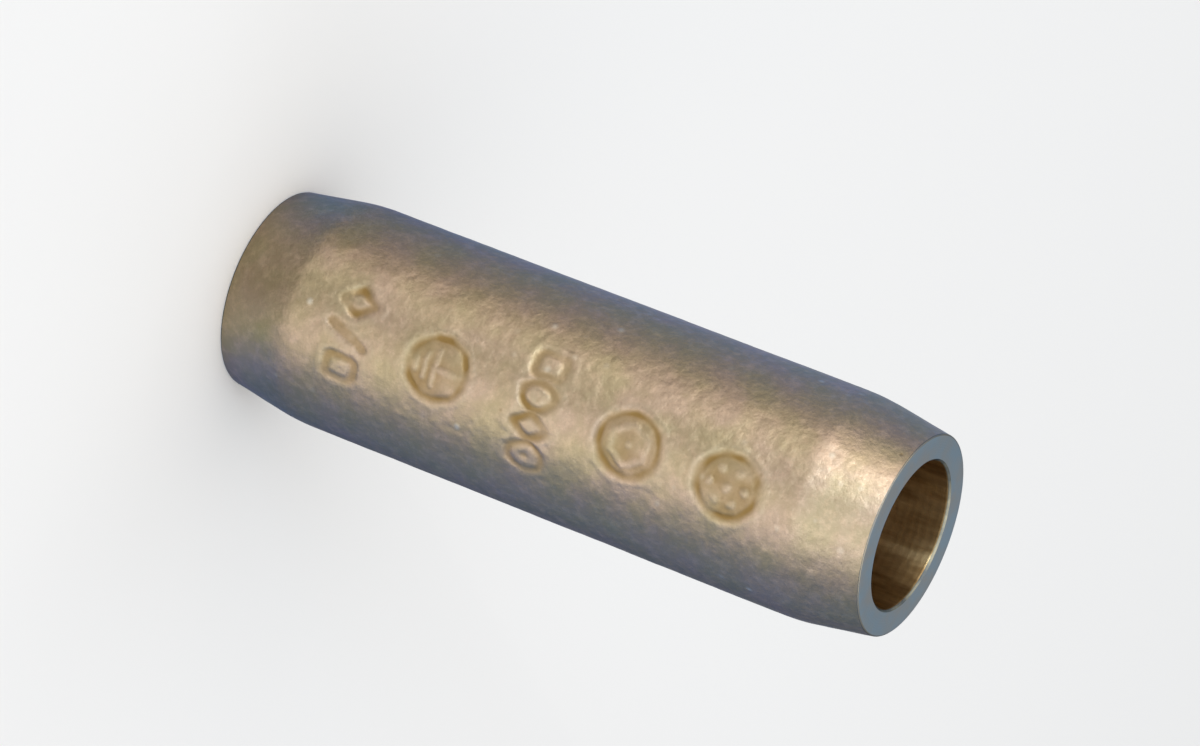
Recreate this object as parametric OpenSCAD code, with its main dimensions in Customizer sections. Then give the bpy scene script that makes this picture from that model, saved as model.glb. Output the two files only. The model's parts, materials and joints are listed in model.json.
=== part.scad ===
// Splice connector: a one-piece cast bronze sleeve that joins two plain ground rods end to end.
// The sleeve stands on its lower end face, with its bore along +Z and its origin at the middle
// of that face. Both ends are alike. Each socket starts with a straight mouth that guides the rod
// and then narrows towards the middle, so that a driven rod wedges itself tight.

/* [Rod] */
// Diameter of the rods that the sleeve joins
rod_diameter = 14.3; // [9:0.1:25]

/* [Sleeve] */
// Length from end face to end face
sleeve_length = 70; // [56:0.5:110]
// Wall between the mouth of a socket and the straight outside of the body
wall_thickness = 3.8; // [3:0.1:7]
// Length of the tapered nose at each end
nose_length = 7.3; // [3:0.1:14]
// How far the nose comes in from the body by the time it meets the end face
nose_drop = 1.2; // [0.6:0.1:1.9]
// Radius of the line between body and nose
shoulder_radius = 4.5; // [0.5:0.1:12]
// Radius on the outer edge of each end face
rim_radius = 0.15; // [0.1:0.05:0.5]

/* [Sockets] */
// Gap all round between the rod and the mouth of a socket
mouth_clearance = 0.15; // [0.05:0.01:0.4]
// Length of the straight mouth, bevel not counted
mouth_length = 12; // [4:0.5:20]
// Bevel that leads the rod into the mouth
mouth_bevel = 0.2; // [0.1:0.05:0.6]
// How much smaller than the rod the bore is at the waist, on the diameter
waist_squeeze = 0.4; // [0.1:0.05:1]

/* [Hidden] */
// Cuts in each rounded corner of the section
arc_steps = 8;
// Sides that a preview draws round the bore axis
round_sides = 128;
bronze = [0.70, 0.59, 0.42];

half_length = sleeve_length / 2;
mouth_radius = rod_diameter / 2 + mouth_clearance;
waist_radius = (rod_diameter - waist_squeeze) / 2;
body_radius = mouth_radius + wall_thickness;
nose_radius = body_radius - nose_drop;
nose_angle = atan2(nose_drop, nose_length);

// Points on an arc about a centre, where a bearing of 0 points outwards from the bore and 90 points
// to the end face
function arc(centre, radius, from, to) = [
    for (step = [0 : arc_steps])
        let (bearing = from + (to - from) * step / arc_steps)
        centre + radius * [cos(bearing), sin(bearing)]
];

// Centre of the arc that rounds a corner between two straight stretches that face first and second
function corner_centre(corner, radius, first, second) =
    let (middle = (first + second) / 2, reach = radius / cos((second - first) / 2))
    corner - reach * [cos(middle), sin(middle)];

// A corner that is rounded by the given radius
function rounded(corner, radius, first, second) =
    arc(corner_centre(corner, radius, first, second), radius, first, second);

// Upper half of the section, as distance from the bore axis and height above the waist
function half_section() = concat(
    rounded([body_radius, half_length - nose_length], shoulder_radius, 0, nose_angle),
    rounded([nose_radius, half_length], rim_radius, nose_angle, 90),
    [
        [mouth_radius + mouth_bevel, half_length],
        [mouth_radius, half_length - mouth_bevel],
        [mouth_radius, half_length - mouth_bevel - mouth_length],
        [waist_radius, 0],
    ]
);

// The same half below the waist, from the body round to the mouth and back to the waist
function lower_half(points) = [for (p = points) [p[0], -p[1]]];

// The closed section, once round: the upper half up to the waist, then the lower half backwards
function section(upper) = let (lower = lower_half(upper), last = len(upper) - 1)
    concat(upper, [for (i = [last - 1 : -1 : 0]) lower[i]]);

module splice_sleeve() {
    color(bronze)
        translate([0, 0, half_length])
            rotate_extrude($fn = round_sides)
                polygon(section(half_section()));
}

splice_sleeve();
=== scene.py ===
"""Looks of the splice connector: a cast bronze sleeve that stands on its lower end face.

The sleeve is one closed surface, worked out on a grid of places along its section and angles round its
bore. It keeps the form of the solid that it stands for, and adds the cast skin and the shallow struck marks.
"""
import json
import logging
import math
from dataclasses import dataclass, field, replace
from enum import Enum

import bpy
import numpy as np
from mathutils import Matrix, Vector


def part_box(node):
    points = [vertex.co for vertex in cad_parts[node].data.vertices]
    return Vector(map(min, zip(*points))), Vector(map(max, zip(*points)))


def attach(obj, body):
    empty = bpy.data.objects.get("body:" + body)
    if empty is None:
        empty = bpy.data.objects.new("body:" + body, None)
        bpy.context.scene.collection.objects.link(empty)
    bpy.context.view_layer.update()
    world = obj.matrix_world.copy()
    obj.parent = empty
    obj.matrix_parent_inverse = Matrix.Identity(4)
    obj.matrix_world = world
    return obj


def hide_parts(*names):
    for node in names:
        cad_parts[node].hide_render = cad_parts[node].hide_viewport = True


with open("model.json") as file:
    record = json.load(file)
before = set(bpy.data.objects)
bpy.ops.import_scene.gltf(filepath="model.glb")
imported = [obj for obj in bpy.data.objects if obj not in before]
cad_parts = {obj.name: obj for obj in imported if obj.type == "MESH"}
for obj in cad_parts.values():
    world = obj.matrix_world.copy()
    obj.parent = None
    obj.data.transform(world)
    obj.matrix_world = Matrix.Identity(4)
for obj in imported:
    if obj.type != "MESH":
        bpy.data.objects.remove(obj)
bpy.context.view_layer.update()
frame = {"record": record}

MM = 0.001
NODE = "splice_sleeve"
WHITE = "#FFFFFF"
# Waves to one unit of length that the wave texture draws at a scale of 1
WAVES_PER_UNIT = 20 / (2 * math.pi)
# Part of a full turn by which a brushed highlight is turned
BRUSH_TURN = 0.25
# Sockets of a mix node's colours, which have the same names as those of its numbers
MIX_SHARE, MIX_FIRST, MIX_SECOND, MIX_RESULT = 0, 6, 7, 2

Span = tuple[float, float]
Place = tuple[float, float, float]

log = logging.getLogger("splice_connector")


def linear(hex_colour: str) -> tuple[float, float, float, float]:
    """Turn an sRGB hex colour into linear light.

    Args:
        hex_colour: six hex digits after a hash sign.

    Returns:
        Red, green, blue and an alpha of 1, each from 0 to 1.
    """
    srgb = np.array([int(hex_colour[i:i + 2], 16) for i in (1, 3, 5)]) / 255
    light = np.where(srgb <= 0.04045, srgb / 12.92, ((srgb + 0.055) / 1.055) ** 2.4)
    return (*light.tolist(), 1.0)


def per_metre(size_mm: float) -> float:
    """Give the texture scale at which one feature of a pattern measures size_mm."""
    return 1 / (size_mm * MM)


def add_node(tree: bpy.types.NodeTree, kind: str, inputs: dict | None = None, **settings) -> bpy.types.Node:
    """Add one node with its settings, values and links.

    Args:
        tree: node tree that takes the node.
        kind: the node's type, without Blender's leading word.
        inputs: socket name or number to a plain value, or to another node's output to link.
        settings: the node's own properties.

    Returns:
        The new node.
    """
    node = tree.nodes.new("ShaderNode" + kind)
    for name, value in settings.items():
        setattr(node, name, value)
    for socket, value in (inputs or {}).items():
        if isinstance(value, bpy.types.NodeSocket):
            tree.links.new(value, node.inputs[socket])
        else:
            node.inputs[socket].default_value = value
    return node


def new_material(name: str) -> bpy.types.Material:
    """Make a material with an empty node tree.

    Args:
        name: what the finish is.

    Returns:
        The material, with no nodes yet.
    """
    material = bpy.data.materials.new(name)
    material.use_nodes = True
    material.node_tree.nodes.clear()
    return material


def grid_quads(rows: int, columns: int, closed: bool) -> np.ndarray:
    """Number the corners of the faces of a grid of points, which are counted row by row.

    Args:
        rows: rows of points.
        columns: points in each row.
        closed: whether the last row and the last column join the first ones.

    Returns:
        Four point numbers for each face.
    """
    index = np.arange(rows * columns).reshape(rows, columns)
    next_row = np.roll(index, -1, 0)
    corners = np.stack([index, np.roll(index, -1, 1), np.roll(next_row, -1, 1), next_row], -1)
    if not closed:
        corners = corners[:-1, :-1]
    return corners.reshape(-1, 4)


def new_surface(name: str, points: np.ndarray, faces: np.ndarray, **values: np.ndarray) -> bpy.types.Object:
    """Make an object from points and faces.

    Args:
        name: what the object and its mesh are called.
        points: places in metres, one row each.
        faces: point numbers, one row for each face.
        values: name of an attribute to its values, one for each point.

    Returns:
        The new object, at the origin.
    """
    mesh = bpy.data.meshes.new(name)
    mesh.from_pydata(points, [], faces)
    for label, numbers in values.items():
        layer = mesh.attributes.new(label, "FLOAT", "POINT")
        layer.data.foreach_set("value", numbers.astype(np.float32).ravel())
    made = bpy.data.objects.new(name, mesh)
    bpy.context.scene.collection.objects.link(made)
    return made


def smooth_step(low: float, high: float, x: np.ndarray) -> np.ndarray:
    """Rise from 0 at low to 1 at high, level at both ends: 3t^2 - 2t^3 of the share t of the way.

    Args:
        low: value that gives 0.
        high: value that gives 1.
        x: values to read.

    Returns:
        An array of the same shape, from 0 to 1.
    """
    t = np.clip((x - low) / (high - low), 0, 1)
    return t * t * (3 - 2 * t)


def inside(window: Span, fade: float, x: np.ndarray) -> np.ndarray:
    """Give 1 inside a window, and fall smoothly to 0 over the fade at each side of it.

    Args:
        window: where the full value starts and stops.
        fade: length over which it falls.
        x: values to read.

    Returns:
        An array of the same shape, from 0 to 1.
    """
    low, high = window
    return smooth_step(low - fade, low, x) * (1 - smooth_step(high, high + fade, x))


def graded(ends: Span, steps: Span, window: Span, fade: float) -> np.ndarray:
    """Space points along a line, close together inside a window and further apart outside it.

    The spacing changes over the fade at each side of the window, and the points lie at equal steps of the
    running sum of one over the spacing.

    Args:
        ends: first and last point.
        steps: spacing away from the window and inside it.
        window: where the close spacing starts and stops.
        fade: length over which the spacing changes.

    Returns:
        Rising points, both ends included.
    """
    samples = 20001
    coarse, fine = steps
    x = np.linspace(*ends, samples)
    density = 1 / (coarse + (fine - coarse) * inside(window, fade, x))
    total = np.concatenate([[0], np.cumsum((density[1:] + density[:-1]) / 2 * np.diff(x))])
    return np.interp(np.linspace(0, total[-1], round(total[-1]) + 1), total, x)


def rounded_corner(corner: Span, radius: float, facing_deg: Span, cuts: int) -> np.ndarray:
    """Round a corner of a section between two straight stretches.

    The centre lies inside the corner, on the line between the two outward directions, at the radius over
    the cosine of half the turn. The points swing about it from the first outward direction to the second.

    Args:
        corner: where the straight stretches would meet, as radius and height.
        radius: radius of the rounding.
        facing_deg: directions that the two stretches face, from 0 outwards to 90 upwards.
        cuts: steps along the arc.

    Returns:
        Points on the arc, both ends included.
    """
    first, second = np.radians(facing_deg)
    middle = (first + second) / 2
    reach = radius / math.cos((second - first) / 2)
    centre = np.array(corner) - reach * np.array([math.cos(middle), math.sin(middle)])
    swing = np.linspace(first, second, cuts + 1)
    return centre + radius * np.stack([np.cos(swing), np.sin(swing)], 1)


def skin_noise(along: np.ndarray, angle: np.ndarray, girth: float, cell: float, seed: int) -> np.ndarray:
    """Smooth noise on a cylinder: random heights on a lattice of cells, blended between their corners.

    The lattice closes on itself round the cylinder, so there is no seam.

    Args:
        along: places along the axis, in mm.
        angle: angles round the axis, in radians.
        girth: length once round, in mm.
        cell: size of a lattice cell, in mm.
        seed: picks the random heights.

    Returns:
        Heights with a spread of about 1, of the shape that along and angle share.
    """
    rows, fewest_columns = 1024, 3
    columns = max(fewest_columns, round(girth / cell))
    row, column = np.broadcast_arrays(along / cell + rows // 2, angle / (2 * math.pi) * columns)
    table = np.random.default_rng(seed).standard_normal((rows, columns))
    i, j = np.floor(row).astype(int), np.floor(column).astype(int)
    a, b = smooth_step(0, 1, row - i), smooth_step(0, 1, column - j)
    i0, i1, j0, j1 = i % rows, (i + 1) % rows, j % columns, (j + 1) % columns
    low = table[i0, j0] * (1 - b) + table[i0, j1] * b
    high = table[i1, j0] * (1 - b) + table[i1, j1] * b
    return low * (1 - a) + high * a


class MarkShape(Enum):
    """Shapes of the punches that the marks are struck with."""

    EARTH = "stem and three bars, the common earth sign"
    HEXAGON = "outline of a hexagon round a dot"
    DOTS = "six dots round a middle one"
    LOOP = "small ring"
    BAR = "slanted bar"
    BLOCK = "outline of a square with round corners"
    LOZENGE = "the same, stood on its corner"
    TARGET = "small ring round a dot"


@dataclass(frozen=True)
class Mark:
    """One struck mark, placed by its middle.

    Attributes:
        shape: which punch struck it.
        along: height of its middle above the waist, in mm.
        angle_deg: angle of its middle from the front, in degrees.
        size: width over all, in mm.
        stretch: how many times as long it is along the axis as round the skin.
        depth: share of the full depth that a plain mark is struck to.
        dished: whether its design stands up in a round dish, instead of being cut in.
        stroke: width of the punch's lines, in mm.
        dish_floor: depth of a dish's floor, as a share of its groove's.
        design_rise: how far a design stands up from that floor, as the same share.
        groove_inset: how far inside the edge of a dish its groove runs, in strokes.
        groove_half: half the width of that groove, in strokes.
    """

    shape: MarkShape
    along: float
    angle_deg: float
    size: float
    stretch: float
    depth: float = 1.0
    dished: bool = False
    stroke: float = 0.66
    dish_floor: float = 0.6
    design_rise: float = 0.5
    groove_inset: float = 0.7
    groove_half: float = 0.35

    def pressed(self, along: np.ndarray, angle: np.ndarray, radius: float,
                edge: float) -> tuple[np.ndarray, np.ndarray]:
        """Work out how deep the mark is at each place, as a share of its full depth.

        A plain mark is a hollow along its lines. A dished one is a shallow round hollow with a deeper groove
        just inside its edge, and its lines rise from the floor of the hollow.

        Args:
            along: heights above the waist, in mm.
            angle: angles from the front, in radians.
            radius: radius of the skin, in mm.
            edge: width of the slope at the side of a hollow, in mm.

        Returns:
            Depths from 0 to 1, and distances in mm from the outside of the mark, below 0 inside it.
        """
        turn = np.mod(angle - math.radians(self.angle_deg) + math.pi, 2 * math.pi) - math.pi
        u, v = np.broadcast_arrays((along - self.along) / self.stretch, turn * radius)
        lines = self.lines(u, v)
        cut = smooth_step(edge / 2, -edge / 2, lines)
        if not self.dished:
            return self.depth * cut, lines
        outside = np.hypot(u, v) - self.size / 2
        dish = smooth_step(edge / 2, -edge / 2, outside)
        from_groove = np.abs(outside + self.groove_inset * self.stroke) - self.groove_half * self.stroke
        groove = smooth_step(edge / 2, -edge / 2, from_groove)
        floor = self.dish_floor - self.design_rise * cut * (1 - groove)
        return dish * (floor + (1 - self.dish_floor) * groove), outside

    def lines(self, u: np.ndarray, v: np.ndarray) -> np.ndarray:
        """Distance from the edge of the design's lines, below 0 inside them.

        Places in a design are shares of the mark's half width, and its thin and thick lines are shares of
        half the stroke.

        Args:
            u: places along the axis from the mark's middle, in mm.
            v: places round the skin from the mark's middle, in mm.

        Returns:
            Distances in mm.
        """
        half = self.size / 2
        line = self.stroke / 2
        out = np.hypot(u, v)
        match self.shape:
            case MarkShape.EARTH:
                head, foot, gap = 0.55 * half, -0.05 * half, 0.3 * half
                reaches, thin = (0.52 * half, 0.36 * half, 0.14 * half), 0.7 * line
                bars = [self.bar(u, v, (foot - row * gap, -reach), (foot - row * gap, reach), thin)
                        for row, reach in enumerate(reaches)]
                return np.minimum.reduce([self.bar(u, v, (head, 0), (foot, 0), line), *bars])
            case MarkShape.HEXAGON:
                inner, thin = 0.5 * half, 0.9 * line
                return np.minimum(np.abs(self.hexagon(u, v) - inner) - thin, out - line)
            case MarkShape.DOTS:
                ring, dot = 0.52 * half, 1.2 * line
                spots = [np.hypot(u - ring * math.cos(bearing), v - ring * math.sin(bearing))
                         for bearing in np.arange(6) * math.pi / 3]
                return np.minimum.reduce([out, *spots]) - dot
            case MarkShape.LOOP:
                return np.abs(out - (half - line)) - line
            case MarkShape.BAR:
                reach, lean, thick = 0.85 * half, 0.5 * half, 1.4 * line
                return self.bar(u, v, (reach, lean), (-reach, -lean), thick)
            case MarkShape.BLOCK:
                inner = 0.9 * half - line
                return np.abs(self.cushion(u, v) - inner) - line
            case MarkShape.LOZENGE:
                inner, lean = 0.82 * half - line, math.sqrt(0.5)
                return np.abs(self.cushion(lean * (u + v), lean * (u - v)) - inner) - line
            case MarkShape.TARGET:
                thin = 0.8 * line
                return np.minimum(np.abs(out - (half - thin)) - thin, out - thin)

    @staticmethod
    def bar(u: np.ndarray, v: np.ndarray, start: Span, end: Span, line: float) -> np.ndarray:
        """Distance from a straight line with round ends: from the nearest point of it, less its half width.

        Args:
            u: places along the axis from the mark's middle, in mm.
            v: places round the skin from the mark's middle, in mm.
            start: one end of the line.
            end: its other end.
            line: half its width.

        Returns:
            Distances in mm, below 0 inside the line.
        """
        du, dv = end[0] - start[0], end[1] - start[1]
        share = np.clip(((u - start[0]) * du + (v - start[1]) * dv) / (du * du + dv * dv), 0, 1)
        return np.hypot(u - start[0] - share * du, v - start[1] - share * dv) - line

    @staticmethod
    def cushion(u: np.ndarray, v: np.ndarray) -> np.ndarray:
        """Half width of the round-cornered square through each place: the fourth root of u^4 + v^4."""
        return (u ** 4 + v ** 4) ** 0.25

    @staticmethod
    def hexagon(u: np.ndarray, v: np.ndarray) -> np.ndarray:
        """Half width of the hexagon through each place: its reach towards the nearest of the six sides."""
        bearing = np.mod(np.arctan2(v, u) + math.pi / 6, math.pi / 3) - math.pi / 6
        return np.hypot(u, v) * np.cos(bearing)


class Region(Enum):
    """Stretches of the section, by the finish that they have. The value is the material's slot."""

    SKIN = 0
    FACE = 1
    BORE = 2
    BEVEL = 3
    RIM = 4


@dataclass(frozen=True)
class CastBronze:
    """Silicon bronze, sand cast and tumbled: a dull sandy skin, tan, that leans a little to pink or olive.

    The grain is fine and shallow, with scattered pits and raised flecks. The pits are darkened with painted
    shade, and the flecks are lightened with a painted glint. It is drawn a little coarser than the real one,
    so that it shows. Struck hollows keep a golden oxide film that tumbling can't reach, which is less
    metallic, and the edges that stand proud round them are rubbed bright, partly as wear and partly as a
    painted highlight. At a slant it is tinted blue-grey, as a painted reflection of the dim blue room round
    it.

    Attributes:
        patch_range: noise values between which the patches go from olive to pink. The mottle's and the
            grain's ranges go from dull to bright and from smooth to rough.
        dull_share: how much of its colour the dullest skin keeps.
        bright_share: how many times its colour the brightest skin has.
        dent_share: height of a raised fleck, or depth of a pit, against the grain's height.
        rubbed_highlight_share: how far the edges round the marks are rubbed bright, partly as wear and
        partly as a painted highlight.
    """

    name: str = "cast_silicon_bronze_tumbled"
    tan: str = "#D4BB99"
    pink: str = "#D7BB9F"
    olive: str = "#CFBA93"
    film: str = "#9B7B44"
    # Colour of the edges rubbed bright round the marks: partly wear, partly a painted highlight
    rubbed: str = "#E6D4B4"
    # Colour of the raised flecks: a painted glint
    speck_glint: str = "#F9ECD4"
    # Colour of the pits: painted shade in the hollows
    pit_shade: str = "#93794F"
    # Tint at a slant: a painted reflection of the dim blue room round the sleeve
    edge_tint: str = "#95ADD9"
    detail: float = 4.0
    patch_mm: float = 4.0
    patch_range: Span = (0.36, 0.64)
    mottle_mm: float = 1.0
    mottle_breakup: float = 0.7
    mottle_range: Span = (0.46, 0.76)
    dull_share: float = 0.965
    bright_share: float = 1.23
    grain_mm: float = 0.45
    grain_breakup: float = 0.6
    grain_range: Span = (0.3, 0.7)
    grain_height_mm: float = 0.06
    pit_mm: float = 3.2
    pit_radius_mm: float = 0.32
    pit_share: float = 0.15
    speck_mm: float = 2.0
    speck_radius_mm: float = 0.52
    speck_share: float = 0.25
    dent_share: float = 0.7
    rubbed_highlight_share: float = 0.15
    film_metallic: float = 0.5
    roughness: float = 0.42
    roughness_spread: float = 0.07
    bump: float = 0.7

    def material(self) -> bpy.types.Material:
        """Build the material.

        Returns:
            A metal whose colour, roughness and bump follow the skin.
        """
        material = new_material(self.name)
        tree = material.node_tree
        place = add_node(tree, "TexCoord").outputs["Object"]
        recess = add_node(tree, "Attribute", attribute_name="recess").outputs["Fac"]
        ridge = add_node(tree, "Attribute", attribute_name="ridge").outputs["Fac"]
        pits = self.scattered(tree, place, self.pit_mm, self.pit_radius_mm, self.pit_share)
        glint_specks = self.scattered(tree, place, self.speck_mm, self.speck_radius_mm, self.speck_share)
        proud = add_node(tree, "Math", {0: ridge, 1: self.rubbed_highlight_share}, operation="MULTIPLY").outputs[0]
        colour = self.tone(tree, place)
        # Pits get painted shade, raised flecks a painted glint, hollows their oxide film, and proud edges a
        # bright rub that is partly a painted highlight
        layers = ((pits, self.pit_shade), (glint_specks, self.speck_glint), (recess, self.film), (proud, self.rubbed))
        for share, tone in layers:
            mixed = add_node(tree, "Mix", {MIX_SHARE: share, MIX_FIRST: colour, MIX_SECOND: linear(tone)},
                             data_type="RGBA")
            colour = mixed.outputs[MIX_RESULT]
        grain = add_node(tree, "TexNoise", {
            "Vector": place, "Scale": per_metre(self.grain_mm), "Detail": self.detail,
            "Roughness": self.grain_breakup})
        low, high = self.grain_range
        rough = add_node(tree, "MapRange", {
            "Value": grain.outputs["Fac"], "From Min": low, "From Max": high,
            "To Min": self.roughness - self.roughness_spread,
            "To Max": self.roughness + self.roughness_spread})
        dents = add_node(tree, "Math", {0: glint_specks, 1: pits}, operation="SUBTRACT")
        height = add_node(tree, "Math", {0: dents.outputs[0], 1: self.dent_share, 2: grain.outputs["Fac"]},
                          operation="MULTIPLY_ADD")
        bump = add_node(tree, "Bump", {
            "Height": height.outputs[0], "Strength": self.bump, "Distance": self.grain_height_mm * MM})
        metallic = add_node(tree, "MapRange", {"Value": recess, "To Min": 1.0, "To Max": self.film_metallic})
        shader = add_node(tree, "BsdfPrincipled", {
            "Base Color": colour, "Metallic": metallic.outputs["Result"],
            "Roughness": rough.outputs["Result"], "Specular Tint": linear(self.edge_tint),
            "Normal": bump.outputs["Normal"]})
        add_node(tree, "OutputMaterial", {"Surface": shader.outputs["BSDF"]})
        return material

    def tone(self, tree: bpy.types.NodeTree, place: bpy.types.NodeSocket) -> bpy.types.NodeSocket:
        """Colour the plain skin: slow patches of olive, tan and pink, times a mottle of dull and bright.

        Args:
            tree: node tree that takes the nodes.
            place: the point on the piece.

        Returns:
            The colour.
        """
        patches = add_node(tree, "TexNoise", {
            "Vector": place, "Scale": per_metre(self.patch_mm), "Detail": self.detail})
        ramp = add_node(tree, "ValToRGB", {"Fac": patches.outputs["Fac"]})
        stops = ramp.color_ramp.elements
        stops[0].position, stops[1].position = self.patch_range
        stops[0].color = linear(self.olive)
        stops[1].color = linear(self.pink)
        stops.new(sum(self.patch_range) / 2).color = linear(self.tan)
        mottle = add_node(tree, "TexNoise", {
            "Vector": place, "Scale": per_metre(self.mottle_mm), "Detail": self.detail,
            "Roughness": self.mottle_breakup})
        low, high = self.mottle_range
        light = add_node(tree, "MapRange", {
            "Value": mottle.outputs["Fac"], "From Min": low, "From Max": high,
            "To Min": self.dull_share, "To Max": self.bright_share})
        lit = add_node(tree, "VectorMath", {0: ramp.outputs["Color"], "Scale": light.outputs["Result"]},
                       operation="SCALE")
        return lit.outputs[0]

    @staticmethod
    def scattered(tree: bpy.types.NodeTree, place: bpy.types.NodeSocket, cell_mm: float,
                  radius_mm: float, share: float) -> bpy.types.NodeSocket:
        """Scatter small round spots: round the middles of some of the cells of a random lattice.

        Args:
            tree: node tree that takes the nodes.
            place: the point on the piece.
            cell_mm: size of a cell.
            radius_mm: where a spot has faded out.
            share: how many of the cells have a spot.

        Returns:
            From 0 between the spots to 1 in the middles of the strongest.
        """
        cells = add_node(tree, "TexVoronoi", {"Vector": place, "Scale": per_metre(cell_mm)})
        spot = add_node(tree, "MapRange", {
            "Value": cells.outputs["Distance"], "From Min": 0.0, "From Max": radius_mm / cell_mm,
            "To Min": 1.0, "To Max": 0.0}, interpolation_type="SMOOTHSTEP")
        chance = add_node(tree, "SeparateColor", {"Color": cells.outputs["Color"]})
        strength = add_node(tree, "MapRange", {
            "Value": chance.outputs["Red"], "From Min": 1 - share, "From Max": 1.0})
        both = add_node(tree, "Math", {0: spot.outputs["Result"], 1: strength.outputs["Result"]},
                        operation="MULTIPLY")
        return both.outputs[0]


class Cut(Enum):
    """Ways that a tool goes over the metal. The value is the wave texture that draws its marks."""

    FACED = "RINGS"
    REAMED = "BANDS"


@dataclass(frozen=True)
class CutBronze:
    """Bare bronze that a tool has cut: patches of two colours, with the fine rings that the tool left.

    The rings are drawn coarser than a tool's feed of about 0.1 mm, so that they show.

    Attributes:
        edge_tint: what the metal's colour turns to at a slant.
        patch_mm: size of a patch, across the axis and along it.
        patch_range: noise values between which the first colour goes over to the second.
        roughness_spread: how far the rings change the roughness, up and down.
        brushing: how far the rings stretch a highlight.
        ring_waver: how far the rings stray from true ones.
    """

    name: str
    cut: Cut
    colours: tuple[str, str]
    edge_tint: str
    patch_mm: Span
    patch_range: Span
    roughness: float
    roughness_spread: float
    brushing: float
    ring_mm: float
    ring_height_mm: float
    ring_waver: float
    ring_detail: float
    ring_detail_scale: float
    patch_detail: float = 3.0
    bump: float = 0.5

    def material(self) -> bpy.types.Material:
        """Build the material.

        Returns:
            A metal with rings round the bore axis or along it.
        """
        material = new_material(self.name)
        tree = material.node_tree
        place = add_node(tree, "TexCoord").outputs["Object"]
        rings = add_node(tree, "TexWave", {
            "Vector": place, "Scale": per_metre(self.ring_mm) / WAVES_PER_UNIT,
            "Distortion": self.ring_waver, "Detail": self.ring_detail,
            "Detail Scale": self.ring_detail_scale},
            wave_type=self.cut.value, rings_direction="Z", bands_direction="Z")
        across, down = (per_metre(size_mm) for size_mm in self.patch_mm)
        drawn = add_node(tree, "Mapping", {"Vector": place, "Scale": (across, across, down)})
        patches = add_node(tree, "TexNoise", {
            "Vector": drawn.outputs["Vector"], "Scale": 1.0, "Detail": self.patch_detail})
        low, high = self.patch_range
        share = add_node(tree, "MapRange", {
            "Value": patches.outputs["Fac"], "From Min": low, "From Max": high})
        first, second = (linear(colour) for colour in self.colours)
        colour = add_node(tree, "Mix", {
            MIX_SHARE: share.outputs["Result"], MIX_FIRST: first, MIX_SECOND: second}, data_type="RGBA")
        roughness = self.roughness
        if self.roughness_spread:
            roughness = add_node(tree, "MapRange", {
                "Value": rings.outputs["Fac"], "To Min": self.roughness - self.roughness_spread,
                "To Max": self.roughness + self.roughness_spread}).outputs["Result"]
        bump = add_node(tree, "Bump", {
            "Height": rings.outputs["Fac"], "Strength": self.bump, "Distance": self.ring_height_mm * MM})
        shader = add_node(tree, "BsdfPrincipled", {
            "Base Color": colour.outputs[MIX_RESULT], "Metallic": 1.0, "Roughness": roughness,
            "Anisotropic": self.brushing, "Anisotropic Rotation": BRUSH_TURN,
            "Specular Tint": linear(self.edge_tint), "Normal": bump.outputs["Normal"]})
        add_node(tree, "OutputMaterial", {"Surface": shader.outputs["BSDF"]})
        return material


# The end faces were cut square in a lathe, so they are smoother than the cast skin. Their grey-blue
# colours, and their blue-grey tint at a slant, are a painted reflection of the dim blue room round them
FACED = CutBronze(
    "faced_bronze_painted_reflection", Cut.FACED, ("#B3B2AD", "#A7B5BC"), "#A9B6C4", patch_mm=(2.5, 2.5),
    patch_range=(0.35, 0.65), roughness=0.36, roughness_spread=0.04, brushing=0.15, ring_mm=0.25,
    ring_height_mm=0.002, ring_waver=0.6, ring_detail=1.0, ring_detail_scale=1.0)
# The sharp edges of the faces were broken afterwards, so bevels and rims are the same metal. The
# bevel's light and dark patches are painted highlights and painted shade
BEVELLED = replace(FACED, name="bevelled_bronze_painted_glints", colours=("#A5A08B", "#6B7070"), patch_mm=(1.6, 1.6))
# The rim's darker colours are painted shade, which dims the highlight that the rim catches
DEBURRED = replace(FACED, name="deburred_bronze_painted_shade", colours=("#A19886", "#92918C"), patch_mm=(1.6, 1.6))
# The bore was reamed bright, so the bare yellow metal shows, streaked along the bore
REAMED = CutBronze(
    "bored_bronze", Cut.REAMED, ("#A98758", "#E3C48F"), "#D9C394", patch_mm=(1.0, 5.0),
    patch_range=(0.3, 0.7), roughness=0.33, roughness_spread=0.0, brushing=0.75, ring_mm=0.8,
    ring_height_mm=0.012, ring_waver=2.5, ring_detail=3.0, ring_detail_scale=2.0)
FINISHES = {Region.SKIN: CastBronze(), Region.FACE: FACED, Region.BORE: REAMED, Region.BEVEL: BEVELLED,
            Region.RIM: DEBURRED}


@dataclass(frozen=True)
class Unevenness:
    """One layer of smooth noise on the skin: how much it varies, its bumps' size in mm, and its seed."""

    spread: float
    cell: float
    seed: int


@dataclass(frozen=True)
class CastSkin:
    """How uneven the cast skin is. Lengths are in mm, and angles in degrees from the front.

    Attributes:
        swell: slow rise and fall.
        ripples: shorter rise and fall.
        front_deg: where the skin is most uneven and the grid is finest.
        fade_deg: angle over which both change, at each side of that.
        swell_left: share of the swell that is left at the back.
        ripple_left: share of the ripples that is left at the back.
        rim_fade: length over which the skin evens out towards the rims.
        rubbed_radius: radius that the shoulders are rubbed to at the sides.
        rubbed_deg: where the rubbing starts and where it is full.
    """

    swell: Unevenness = Unevenness(0.018, 7.0, 3)
    ripples: tuple[Unevenness, ...] = (
        Unevenness(0.017, 2.4, 4), Unevenness(0.012, 1.1, 5), Unevenness(0.010, 0.6, 9))
    front_deg: Span = (-26.0, 45.0)
    fade_deg: float = 20.0
    swell_left: float = 0.5
    ripple_left: float = 0.35
    rim_fade: float = 0.8
    rubbed_radius: float = 22.0
    rubbed_deg: Span = (35.0, 65.0)


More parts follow.
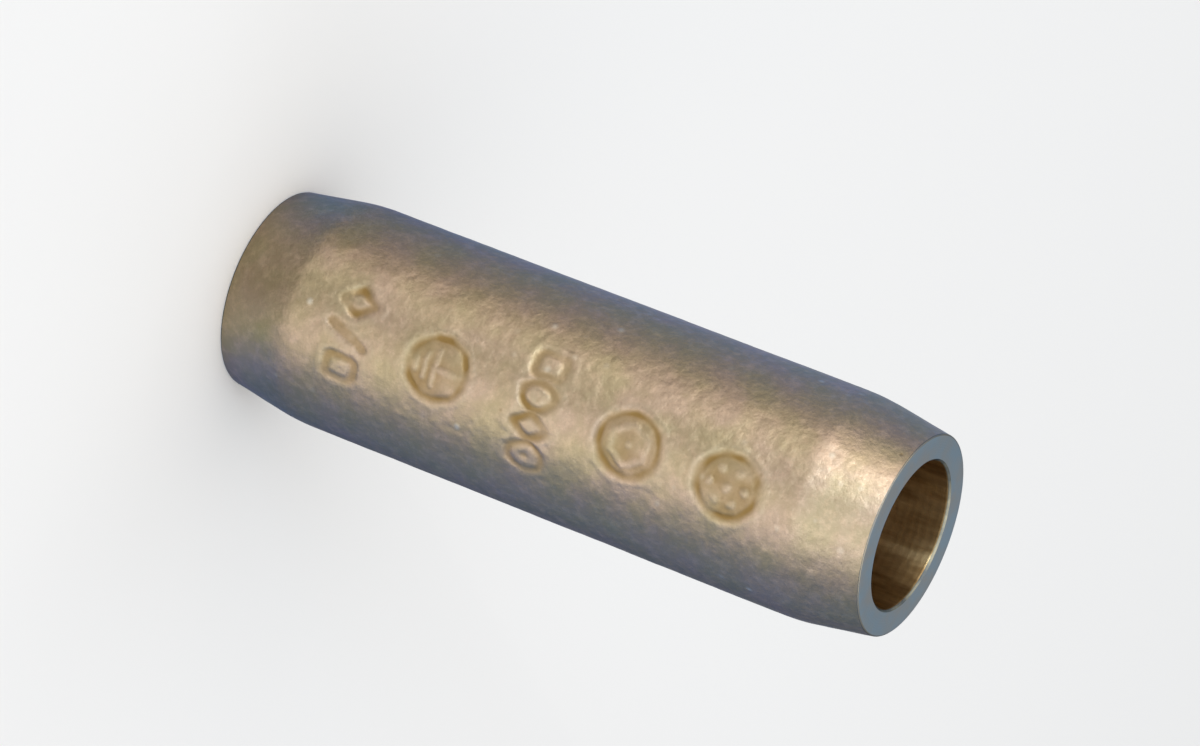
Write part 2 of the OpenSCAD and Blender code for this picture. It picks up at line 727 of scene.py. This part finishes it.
@dataclass(frozen=True)
class Blow:
    """How the marks are struck. Lengths are in mm, and angles in degrees from the front.

    Attributes:
        depth: depth of a mark that is struck full.
        edge: width of the slope at the side of a hollow.
        waver_along: how far the lines stray along the axis, and waver_round round the skin.
        force: usual share of the full depth.
        force_change: how that share changes from place to place.
        force_range: its least and its most.
        side_loss: share of the depth that is lost at the sides.
        side_deg: where that loss starts and where it is full.
        ridge_height: height of the metal pushed up round a mark.
        ridge_away: distance from the mark to the crest of that ridge.
        ridge_half: half the ridge's width.
        ridge_break: how the ridge strays from that distance.
    """

    depth: float = 0.19
    edge: float = 0.44
    waver_along: tuple[Unevenness, ...] = (Unevenness(0.07, 1.2, 6), Unevenness(0.03, 0.6, 11))
    waver_round: tuple[Unevenness, ...] = (Unevenness(0.07, 1.2, 7), Unevenness(0.03, 0.6, 12))
    force: float = 0.85
    force_change: Unevenness = Unevenness(0.3, 1.6, 8)
    force_range: Span = (0.45, 1.25)
    side_loss: float = 0.45
    side_deg: Span = (16.0, 40.0)
    ridge_height: float = 0.03
    ridge_away: float = 0.45
    ridge_half: float = 0.25
    ridge_break: Unevenness = Unevenness(0.08, 0.7, 10)


@dataclass(frozen=True)
class Grid:
    """How finely the surface is cut up. Lengths are in mm.

    Attributes:
        marked: heights above the waist between which the rows on the skin lie closest.
        row_steps: spacing of those rows outside that stretch and inside it.
        row_fade: length over which the spacing changes.
        column_steps_deg: spacing of the columns at the back and at the front.
        lip_depths: depths of the first rows of a mouth, which lie close together.
        bore_rows: rows down the rest of a mouth, and down each taper.
    """

    marked: Span = (-23.4, 24.6)
    row_steps: Span = (0.34, 0.155)
    row_fade: float = 2.0
    column_steps_deg: Span = (2.5, 0.78)
    shoulder_cuts: int = 16
    rim_cuts: int = 5
    face_rows: int = 6
    bevel_rows: int = 4
    lip_depths: tuple[float, ...] = (0.0, 0.2, 0.7)
    bore_rows: int = 9


@dataclass
class SpliceSleeve:
    """The whole connector, as one closed surface.

    Heights run from the waist, halfway up, and angles from the side that faces the front. Sizes are in mm.

    Attributes:
        half_length: from the waist to an end face.
        body_radius: radius of the straight outside.
        mouth_radius: radius of the straight mouth of a socket.
        mouth_length: length of that mouth, without its bevel.
        nose_length: length of the tapered nose at each end.
        nose_drop: how far a nose comes in from the body by the time it meets the end face.
        shoulder_radius: radius of the line between body and nose.
        rim_radius: radius on the outer edge of each end face.
        mouth_bevel: bevel that leads the rod into a mouth.
        waist_radius: radius of the bore at the waist.
        dish_size: width of a round mark, and dish_stretch how many times as long it is along the axis.
        sign_size: width of a mark in a column, and sign_stretch the same for it.
        sign_depth: share of the full depth that a mark in a column is struck to.
        marks: the marks, once they are laid out.
    """

    half_length: float
    body_radius: float
    mouth_radius: float
    mouth_length: float
    nose_length: float = 7.3
    nose_drop: float = 1.2
    shoulder_radius: float = 4.5
    rim_radius: float = 0.15
    mouth_bevel: float = 0.2
    waist_radius: float = 6.95
    dish_size: float = 6.7
    dish_stretch: float = 1.05
    sign_size: float = 3.2
    sign_stretch: float = 1.35
    sign_depth: float = 0.8
    skin: CastSkin = CastSkin()
    blow: Blow = Blow()
    grid: Grid = Grid()
    marks: list[Mark] = field(default_factory=list)

    @classmethod
    def from_frame(cls) -> "SpliceSleeve":
        """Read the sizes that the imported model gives.

        Returns:
            A sleeve of the solid's length and diameter, with the sockets that the record states.
        """
        low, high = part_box(NODE)
        socket = next(m for m in frame["record"]["mounts"] if m["name"] == "upper_rod_socket")
        return cls(half_length=(high.z - low.z) / MM / 2, body_radius=(high.y - low.y) / MM / 2,
                   mouth_radius=socket["dims"]["r_mm"], mouth_length=socket["dims"]["length_mm"])

    @property
    def nose_angle(self) -> float:
        """Angle between a nose and the bore axis, in radians."""
        return math.atan2(self.nose_drop, self.nose_length)

    def strike(self) -> None:
        """Lay out the marks in one row along the front: three dishes, and two columns round the skin."""
        dishes = ((MarkShape.EARTH, -11.0, 8.3), (MarkShape.HEXAGON, 10.0, 8.8),
                  (MarkShape.DOTS, 20.6, 10.2))
        self.marks = [Mark(shape, along, angle_deg, self.dish_size, self.dish_stretch, dished=True)
                      for shape, along, angle_deg in dishes]
        columns = (
            (-21.0, 8.5, 17.0, (MarkShape.LOZENGE, MarkShape.BAR, MarkShape.BLOCK)),
            (-0.2, 10.3, 15.6, (MarkShape.BLOCK, MarkShape.LOOP, MarkShape.LOZENGE, MarkShape.TARGET)))
        for along, middle_deg, pitch_deg, shapes in columns:
            for place, shape in enumerate(shapes):
                angle_deg = middle_deg + (place - (len(shapes) - 1) / 2) * pitch_deg
                self.marks.append(Mark(shape, along, angle_deg, self.sign_size, self.sign_stretch,
                                       self.sign_depth))

    def half_section(self) -> list[tuple[Region, np.ndarray]]:
        """Work out the upper half of the section, from the waist outside to the waist inside.

        Returns:
            Each stretch's finish, and its points as radius and height. The first stretch is the skin.
        """
        grid, top, nose_deg = self.grid, self.half_length, math.degrees(self.nose_angle)
        shoulder = rounded_corner((self.body_radius, top - self.nose_length), self.shoulder_radius,
                                  (0, nose_deg), grid.shoulder_cuts)
        rim = rounded_corner((self.body_radius - self.nose_drop, top), self.rim_radius, (nose_deg, 90),
                             grid.rim_cuts)
        skin = np.vstack([[self.body_radius, 0], shoulder, rim[:1]])
        face = np.linspace(rim[-1], [self.mouth_radius + self.mouth_bevel, top], grid.face_rows)
        bevel = np.linspace(face[-1], [self.mouth_radius, top - self.mouth_bevel], grid.bevel_rows)
        *lip, rest = grid.lip_depths
        depth = np.concatenate([lip, np.linspace(rest, self.mouth_length, grid.bore_rows)])
        mouth = np.stack([np.full(len(depth), self.mouth_radius), bevel[-1, 1] - depth], 1)
        taper = np.linspace(mouth[-1], [self.waist_radius, 0], grid.bore_rows)
        return [(Region.SKIN, skin), (Region.RIM, rim), (Region.FACE, face), (Region.BEVEL, bevel),
                (Region.BORE, mouth), (Region.BORE, taper)]

    def relief(self, along: np.ndarray, angle: np.ndarray) -> tuple[np.ndarray, np.ndarray, np.ndarray]:
        """Work out how far the cast skin lies above or below the turned form.

        It is a slow swell, shorter ripples, and the marks: a soft-sided hollow inside each line, with a low
        ridge of pushed-up metal just outside it. The lines waver and their depth varies, as struck marks do,
        and they are shallower towards the sides. Away from the front the skin is calmer, and its shoulders
        are rubbed down.

        Args:
            along: heights above the waist, in mm.
            angle: angles from the front, in radians.

        Returns:
            Heights in mm, how far each place lies in a mark from 0 to 1, and on its ridge from 0 to 1.
        """
        skin, blow, girth = self.skin, self.blow, 2 * math.pi * self.body_radius

        def noise(*layers: Unevenness) -> np.ndarray:
            """Add up layers of smooth noise on the skin."""
            return sum(n.spread * skin_noise(along, angle, girth, n.cell, n.seed) for n in layers)

        front = inside(np.radians(skin.front_deg), math.radians(skin.fade_deg), angle)
        swell = noise(skin.swell) * (skin.swell_left + (1 - skin.swell_left) * front)
        ripple = noise(*skin.ripples) * (skin.ripple_left + (1 - skin.ripple_left) * front)
        waver_along = along + noise(*blow.waver_along)
        waver_angle = angle + noise(*blow.waver_round) / self.body_radius
        struck = [m.pressed(waver_along, waver_angle, self.body_radius, blow.edge) for m in self.marks]
        bite = 1 - blow.side_loss * smooth_step(*np.radians(blow.side_deg), np.abs(angle))
        force = np.clip(blow.force + noise(blow.force_change), *blow.force_range) * bite
        recess = np.maximum.reduce([depth for depth, _ in struck]) * force
        gap = np.minimum.reduce([outside for _, outside in struck]) + noise(blow.ridge_break)
        ridge = np.exp(-((gap - blow.ridge_away) / blow.ridge_half) ** 2) * (gap > 0) * force
        bare = swell + ripple - self.shoulder_wear(along, angle)
        return bare - blow.depth * recess + blow.ridge_height * ridge, recess, ridge

    def shoulder_wear(self, along: np.ndarray, angle: np.ndarray) -> np.ndarray:
        """Work out how much the shoulders are rubbed down at the sides of the sleeve.

        A rounding of radius R lies below a sharp corner by the square of what is left of its tangent length,
        over twice R. The wear is that of the rubbed radius less that of the shoulder's own, and it fades to
        the front.

        Args:
            along: heights above the waist, in mm.
            angle: angles from the front, in radians.

        Returns:
            Depths in mm.
        """
        from_corner = np.abs(np.abs(along) - (self.half_length - self.nose_length))
        slope = math.tan(self.nose_angle / 2)
        rubbed, own = (np.maximum(0, radius * slope - from_corner) ** 2 / (2 * radius)
                       for radius in (self.skin.rubbed_radius, self.shoulder_radius))
        return (rubbed - own) * smooth_step(*np.radians(self.skin.rubbed_deg), np.abs(angle))

    def build(self) -> bpy.types.Object:
        """Make the surface: the section carried round the bore axis, with the relief added on the skin.

        The section runs up the skin, over the upper rim, down through the bore and back to the skin. Its
        lower half past the skin is the upper one, mirrored and run backwards.

        Returns:
            The new object, at the origin.
        """
        grid = self.grid
        (_, profile), *stretches = self.half_section()
        top = profile[-1, 1]
        height = graded((-top, top), grid.row_steps, grid.marked, grid.row_fade)
        skin = np.stack([np.interp(np.abs(height), profile[:, 1], profile[:, 0]), height], 1)
        inner = np.vstack([part[1:] for _, part in stretches])
        section = np.vstack([skin, inner, inner[-2::-1] * [1, -1]])
        inner_slots = np.concatenate([np.full(len(part) - 1, region.value) for region, part in stretches])
        slots = np.concatenate([np.full(len(skin) - 1, Region.SKIN.value), inner_slots, inner_slots[::-1]])
        angle = graded((-math.pi, math.pi), np.radians(grid.column_steps_deg),
                       np.radians(self.skin.front_deg), math.radians(self.skin.fade_deg))[:-1]
        along, turn = section[:, 1:2], angle[None, :]
        rise, recess, ridge = self.relief(along, turn)
        on_skin = np.zeros((len(section), 1))
        on_skin[:len(skin), 0] = smooth_step(0, self.skin.rim_fade, top - np.abs(height))
        radius = section[:, :1] + rise * on_skin
        points = np.stack(np.broadcast_arrays(
            radius * np.sin(turn), -radius * np.cos(turn), along + self.half_length), -1)
        faces = grid_quads(*radius.shape, closed=True)
        piece = new_surface("bronze_sleeve", points.reshape(-1, 3) * MM, faces,
                            recess=recess * on_skin, ridge=ridge * on_skin)
        mesh = piece.data
        mesh.polygons.foreach_set("material_index", np.repeat(slots, len(angle)).astype(np.int32))
        mesh.polygons.foreach_set("use_smooth", np.ones(len(mesh.polygons), bool))
        self.crease(mesh, slots)
        mesh.update()
        return piece

    @staticmethod
    def crease(mesh: bpy.types.Mesh, slots: np.ndarray) -> None:
        """Keep the shading crisp where the skin meets the rim, and where the face meets the bevel.

        Args:
            mesh: the sleeve's mesh.
            slots: finish of each step of the section, from one row of points to the next.
        """
        crisp_pairs = ({Region.SKIN.value, Region.RIM.value}, {Region.FACE.value, Region.BEVEL.value})
        steps = zip(np.roll(slots, 1).tolist(), slots.tolist())
        crisp_rows = [row for row, pair in enumerate(steps) if set(pair) in crisp_pairs]
        ends = np.empty(len(mesh.edges) * 2, np.int32)
        mesh.edges.foreach_get("vertices", ends)
        first, second = ends.reshape(-1, 2).T // (len(mesh.vertices) // len(slots))
        crisp = (first == second) & np.isin(first, crisp_rows)
        mesh.attributes.new("sharp_edge", "BOOLEAN", "EDGE").data.foreach_set("value", crisp)

    def dress(self, piece: bpy.types.Object) -> None:
        """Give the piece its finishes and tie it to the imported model.

        Args:
            piece: what build returned.
        """
        for region in Region:
            piece.data.materials.append(FINISHES[region].material())
        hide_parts(NODE)
        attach(piece, "root")


@dataclass(frozen=True)
class Gel:
    """A tinted clear sheet near the sleeve, which only reflections see.

    It is a profile, carried round the bore axis. Its rows start at different angles and stop at the same
    one, and the tint runs along the sweep, as strongly as each row says.

    Attributes:
        side: 1 to sweep towards +X, -1 to sweep the other way.
        start_deg: angle from the front where the first row starts.
        stop_deg: angle where every row stops.
        rows: radius and height in metres, degrees past the first start, and strength, outwards.
        tints: share of the sweep and colour there, in order.
        columns: points along the sweep.
    """

    name: str
    side: int
    start_deg: float
    stop_deg: float
    rows: tuple[tuple[float, float, float, float], ...]
    tints: tuple[tuple[float, str], ...]
    columns: int = 65

    def build(self) -> None:
        """Set up the sheet, hidden from all rays but reflected ones."""
        radius, height, late_deg, strength = np.array(self.rows, float).T[:, :, None]
        share = np.linspace(0, 1, self.columns)[None]
        start_deg = self.start_deg + late_deg
        turn = np.radians(start_deg + (self.stop_deg - start_deg) * share) * self.side
        points = np.stack(np.broadcast_arrays(radius * np.sin(turn), -radius * np.cos(turn), height), -1)
        sweep, strength = (np.broadcast_to(values, turn.shape) for values in (share, strength))
        made = new_surface(self.name, points.reshape(-1, 3), grid_quads(*turn.shape, closed=False),
                           sweep=sweep, strength=strength)
        made.data.materials.append(self.material())
        for ray in ("camera", "diffuse", "transmission", "volume_scatter", "shadow"):
            setattr(made, "visible_" + ray, False)

    def material(self) -> bpy.types.Material:
        """Make the sheet's tint, along the attribute sweep and as strong as the attribute strength says.

        Returns:
            A material that only tints what is seen through it.
        """
        material = new_material(self.name)
        tree = material.node_tree
        sweep, strength = (add_node(tree, "Attribute", attribute_name=wanted).outputs["Fac"]
                           for wanted in ("sweep", "strength"))
        ramp = add_node(tree, "ValToRGB", {"Fac": sweep})
        stops = ramp.color_ramp.elements
        stops[0].color = linear(self.tints[0][1])
        stops[1].color = linear(self.tints[-1][1])
        for share, colour in self.tints[1:-1]:
            stops.new(share).color = linear(colour)
        tint = add_node(tree, "Mix", {
            MIX_SHARE: strength, MIX_FIRST: linear(WHITE), MIX_SECOND: ramp.outputs["Color"]},
            data_type="RGBA")
        shader = add_node(tree, "BsdfTransparent", {"Color": tint.outputs[MIX_RESULT]})
        add_node(tree, "OutputMaterial", {"Surface": shader.outputs["BSDF"]})
        return material


@dataclass(frozen=True)
class Lamp:
    """One soft lamp, whose middle is at its place and which faces its aim. Lengths are in metres."""

    name: str
    place: Place
    aim: Place
    size: Span
    watts: float
    colour: str = WHITE

    def build(self) -> None:
        """Hang the lamp and turn it to its aim."""
        light = bpy.data.lights.new(self.name, "AREA")
        light.shape = "RECTANGLE"
        light.size, light.size_y = self.size
        light.energy = self.watts
        light.color = linear(self.colour)[:3]
        lamp = bpy.data.objects.new(self.name, light)
        lamp.location = self.place
        lamp.rotation_euler = (Vector(self.aim) - Vector(self.place)).to_track_quat("-Z", "Y").to_euler()
        bpy.context.scene.collection.objects.link(lamp)


# A bowl that lies on the floor beside the sleeve and turns up at its outer edge
BOWL_ROWS = ((0.016, 0.0005, 0, 0), (0.023, 0.0005, 3, 1), (0.03, 0.0005, 7, 1), (0.12, 0.0005, 13, 1),
             (0.2, 0.10, 15, 1), (0.22, 0.14, 15, 0))
# A ring on the floor, close round the foot of the sleeve, which darkens what the lower nose mirrors: a
# painted shadow round the foot
FOOT_ROWS = ((0.0093, 0.00002, 0, 0.75), (0.013, 0.00002, 0, 0.85), (0.018, 0.00002, 0, 1),
             (0.0205, 0.00002, 0, 1), (0.0225, 0.00002, 0, 0))
# A fan on the floor in front of the sleeve
FRONT_ROWS = ((0.018, 0.0007, 0, 0), (0.026, 0.0007, 0, 0.9), (0.06, 0.0007, 0, 0.9),
              (0.12, 0.0007, 0, 1), (0.8, 0.0007, 0, 1), (0.81, 0.0007, 0, 0))
GELS = (
    Gel("gel_left", -1, 23, 162, BOWL_ROWS, (
        (0.0, WHITE), (0.08, "#CAC6C4"), (0.18, "#A09688"), (0.28, "#848890"), (0.46, "#8894B0"),
        (0.76, "#8CB0E8"), (0.86, "#BCE0FF"), (1.0, WHITE))),
    Gel("gel_right", 1, 31, 162, BOWL_ROWS, (
        (0.0, WHITE), (0.13, "#A8B2CC"), (0.34, "#748CB4"), (0.64, "#7894C4"), (0.85, "#607690"),
        (1.0, "#8092B0"))),
    Gel("gel_foot_painted_shadow", 1, -150, 150, FOOT_ROWS, (
        (0.0, WHITE), (0.2, "#70B0F0"), (0.3, "#6882B0"), (0.4, "#8A8A8A"), (0.5, "#868680"),
        (0.6, "#A4B4B0"), (0.7, "#7294DC"), (0.8, "#5C8CC4"), (1.0, "#B0C8F0"))),
    Gel("gel_front", 1, -44, 20, FRONT_ROWS, (
        (0.0, WHITE), (0.5, "#A09C98"), (0.7, "#B2B0A8"), (0.88, "#F4F4F0"), (1.0, WHITE))),
)
LAMPS = (
    Lamp("key", (-0.86, -0.80, 0.16), (0, 0, 0.16), (0.8, 0.32), 2.4),
    Lamp("spark", (-0.36, -0.90, 0.27), (0, 0, 0.27), (0.28, 0.36), 1.75, "#CCDFF4"),
    Lamp("sill", (0.40, -0.85, 0.05), (0, 0, 0.05), (0.9, 0.1), 0.95, "#D8E4F6"),
    Lamp("top", (0.0, -0.35, 1.2), (0, -0.35, 0), (2.2, 2.2), 17.2),
)


@dataclass(frozen=True)
class Studio:
    """Pale floor, soft light and tinted gels. Lengths are in metres.

    The gels are painted reflections: a dim blue room round the sleeve, and shade round its foot. The camera
    doesn't see them, and they only darken and tint what the metal mirrors there, with soft edges.

    Attributes:
        floor_half: half the floor's width.
        sky_colour: colour of the light from all round, and sky_strength its strength.
    """

    floor_colour: str = "#F0EDE9"
    floor_roughness: float = 0.9
    floor_half: float = 3.0
    sky_colour: str = "#BFC5CC"
    sky_strength: float = 0.86
    gels: tuple[Gel, ...] = GELS
    lamps: tuple[Lamp, ...] = LAMPS

    def build(self) -> None:
        """Lay the floor, set up the gels and the lamps, and light the world."""
        self.lay_floor()
        for item in (*self.gels, *self.lamps):
            item.build()
        world = bpy.data.worlds.new("studio")
        bpy.context.scene.world = world
        world.use_nodes = True
        world.node_tree.nodes.clear()
        sky = add_node(world.node_tree, "Background", {
            "Color": linear(self.sky_colour), "Strength": self.sky_strength})
        add_node(world.node_tree, "OutputWorld", {"Surface": sky.outputs["Background"]})

    def lay_floor(self) -> None:
        """Lay one square face of matt paper at the sleeve's foot."""
        corners = np.array([(-1, -1, 0), (1, -1, 0), (1, 1, 0), (-1, 1, 0)]) * self.floor_half
        made = new_surface("floor", corners, np.arange(len(corners))[None])
        paper = new_material("matt_paper")
        shader = add_node(paper.node_tree, "BsdfPrincipled", {
            "Base Color": linear(self.floor_colour), "Roughness": self.floor_roughness})
        add_node(paper.node_tree, "OutputMaterial", {"Surface": shader.outputs["BSDF"]})
        made.data.materials.append(paper)


@dataclass(frozen=True)
class PhotoCamera:
    """The photograph's own viewpoint, found by fitting the sleeve's outline. Lengths are in mm."""

    place: Place = (0.0, -521.2, 267.8)
    turn_deg: float = 0.40
    tilt_deg: float = 24.08
    roll_deg: float = 111.11
    lens: float = 181.84
    sensor: float = 36.0

    def build(self) -> None:
        """Set up the camera: level along +Y, tilted down, rolled about its own line of sight and turned."""
        data = bpy.data.cameras.new("photo_camera")
        data.lens = self.lens
        data.sensor_width = self.sensor
        camera = bpy.data.objects.new("photo_camera", data)
        turn = Matrix.Rotation(math.radians(self.turn_deg), 4, "Z")
        tilt = Matrix.Rotation(math.radians(90 - self.tilt_deg), 4, "X")
        roll = Matrix.Rotation(math.radians(self.roll_deg), 4, "Z")
        camera.matrix_world = Matrix.Translation(Vector(self.place) * MM) @ turn @ tilt @ roll
        bpy.context.scene.collection.objects.link(camera)
        bpy.context.scene.camera = camera


def main() -> None:
    """Build the camera, the sleeve and the studio."""
    logging.basicConfig(level=logging.INFO, format="%(name)s: %(message)s")
    bpy.context.scene.view_settings.view_transform = "Standard"
    PhotoCamera().build()
    sleeve = SpliceSleeve.from_frame()
    sleeve.strike()
    piece = sleeve.build()
    sleeve.dress(piece)
    log.info("%s: %d faces, %d marks", piece.name, len(piece.data.polygons), len(sleeve.marks))
    Studio().build()


if __name__ == "__main__":
    main()
